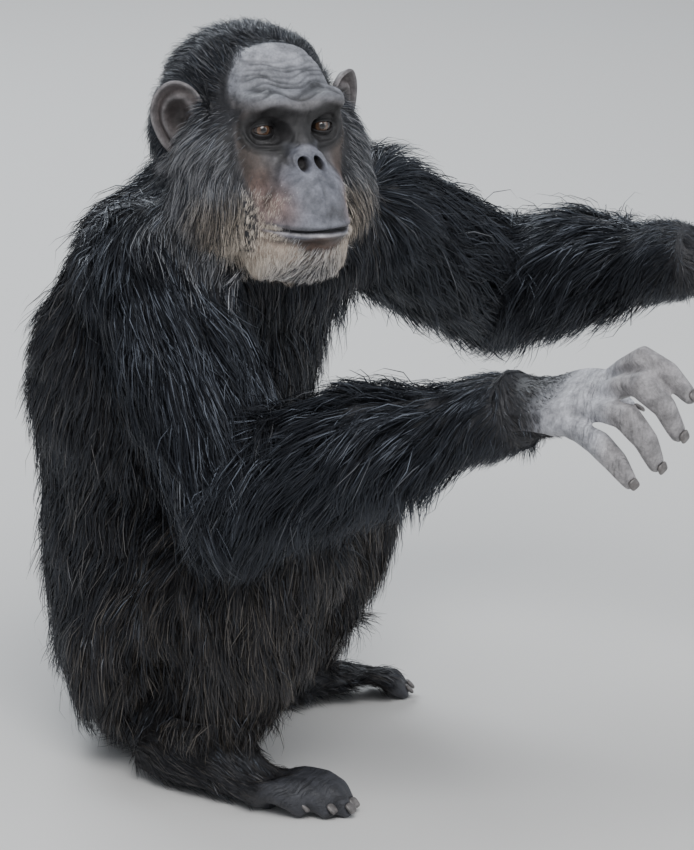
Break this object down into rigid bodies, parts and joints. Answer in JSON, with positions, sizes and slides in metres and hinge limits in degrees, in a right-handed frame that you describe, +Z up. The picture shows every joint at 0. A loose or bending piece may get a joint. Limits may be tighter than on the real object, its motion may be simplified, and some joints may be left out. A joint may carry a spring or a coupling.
{
  "type": "chimpanzee",
  "caption": "Adult chimpanzee at life size, squatting on the ground with both arms reaching forward; black shaggy coat, grey bare face, hands and feet, pale beard.",
  "frame": {"origin": "middle of the bounding box's underside, on the floor", "axes": "+Z up; the trunk faces -Y; the animal's left is +X"},
  "size_m": [0.7208, 0.742, 0.728],
  "materials": {
    "coat": "coarse black hair with a faint blue sheen",
    "skin": "bare wrinkled grey skin with a soft sheen",
    "nail": "dull dark horn",
    "eye": "wet, brown iris"
  },
  "bodies": {
    "root": {"head": "skin", "neck": "coat", "trunk": "coat", "ear_r": "skin", "ear_l": "skin", "eye_r": "eye", "eye_l": "eye", "upper_arm_r": "coat", "upper_arm_l": "coat", "forearm_r": "coat", "forearm_l": "coat", "hand_r": "skin", "hand_l": "skin", "thigh_r": "coat", "thigh_l": "coat", "shank_r": "coat", "shank_l": "coat", "foot_r": "skin", "foot_l": "skin", "nail_index_r": "nail", "nail_middle_r": "nail", "nail_ring_r": "nail", "nail_little_r": "nail", "nail_thumb_r": "nail", "nail_second_toe_r": "nail", "nail_third_toe_r": "nail", "nail_fourth_toe_r": "nail", "nail_little_toe_r": "nail", "nail_big_toe_r": "nail", "nail_index_l": "nail", "nail_middle_l": "nail", "nail_ring_l": "nail", "nail_little_l": "nail", "nail_thumb_l": "nail", "nail_second_toe_l": "nail", "nail_third_toe_l": "nail", "nail_fourth_toe_l": "nail", "nail_little_toe_l": "nail", "nail_big_toe_l": "nail"}
  },
  "joints": []
}
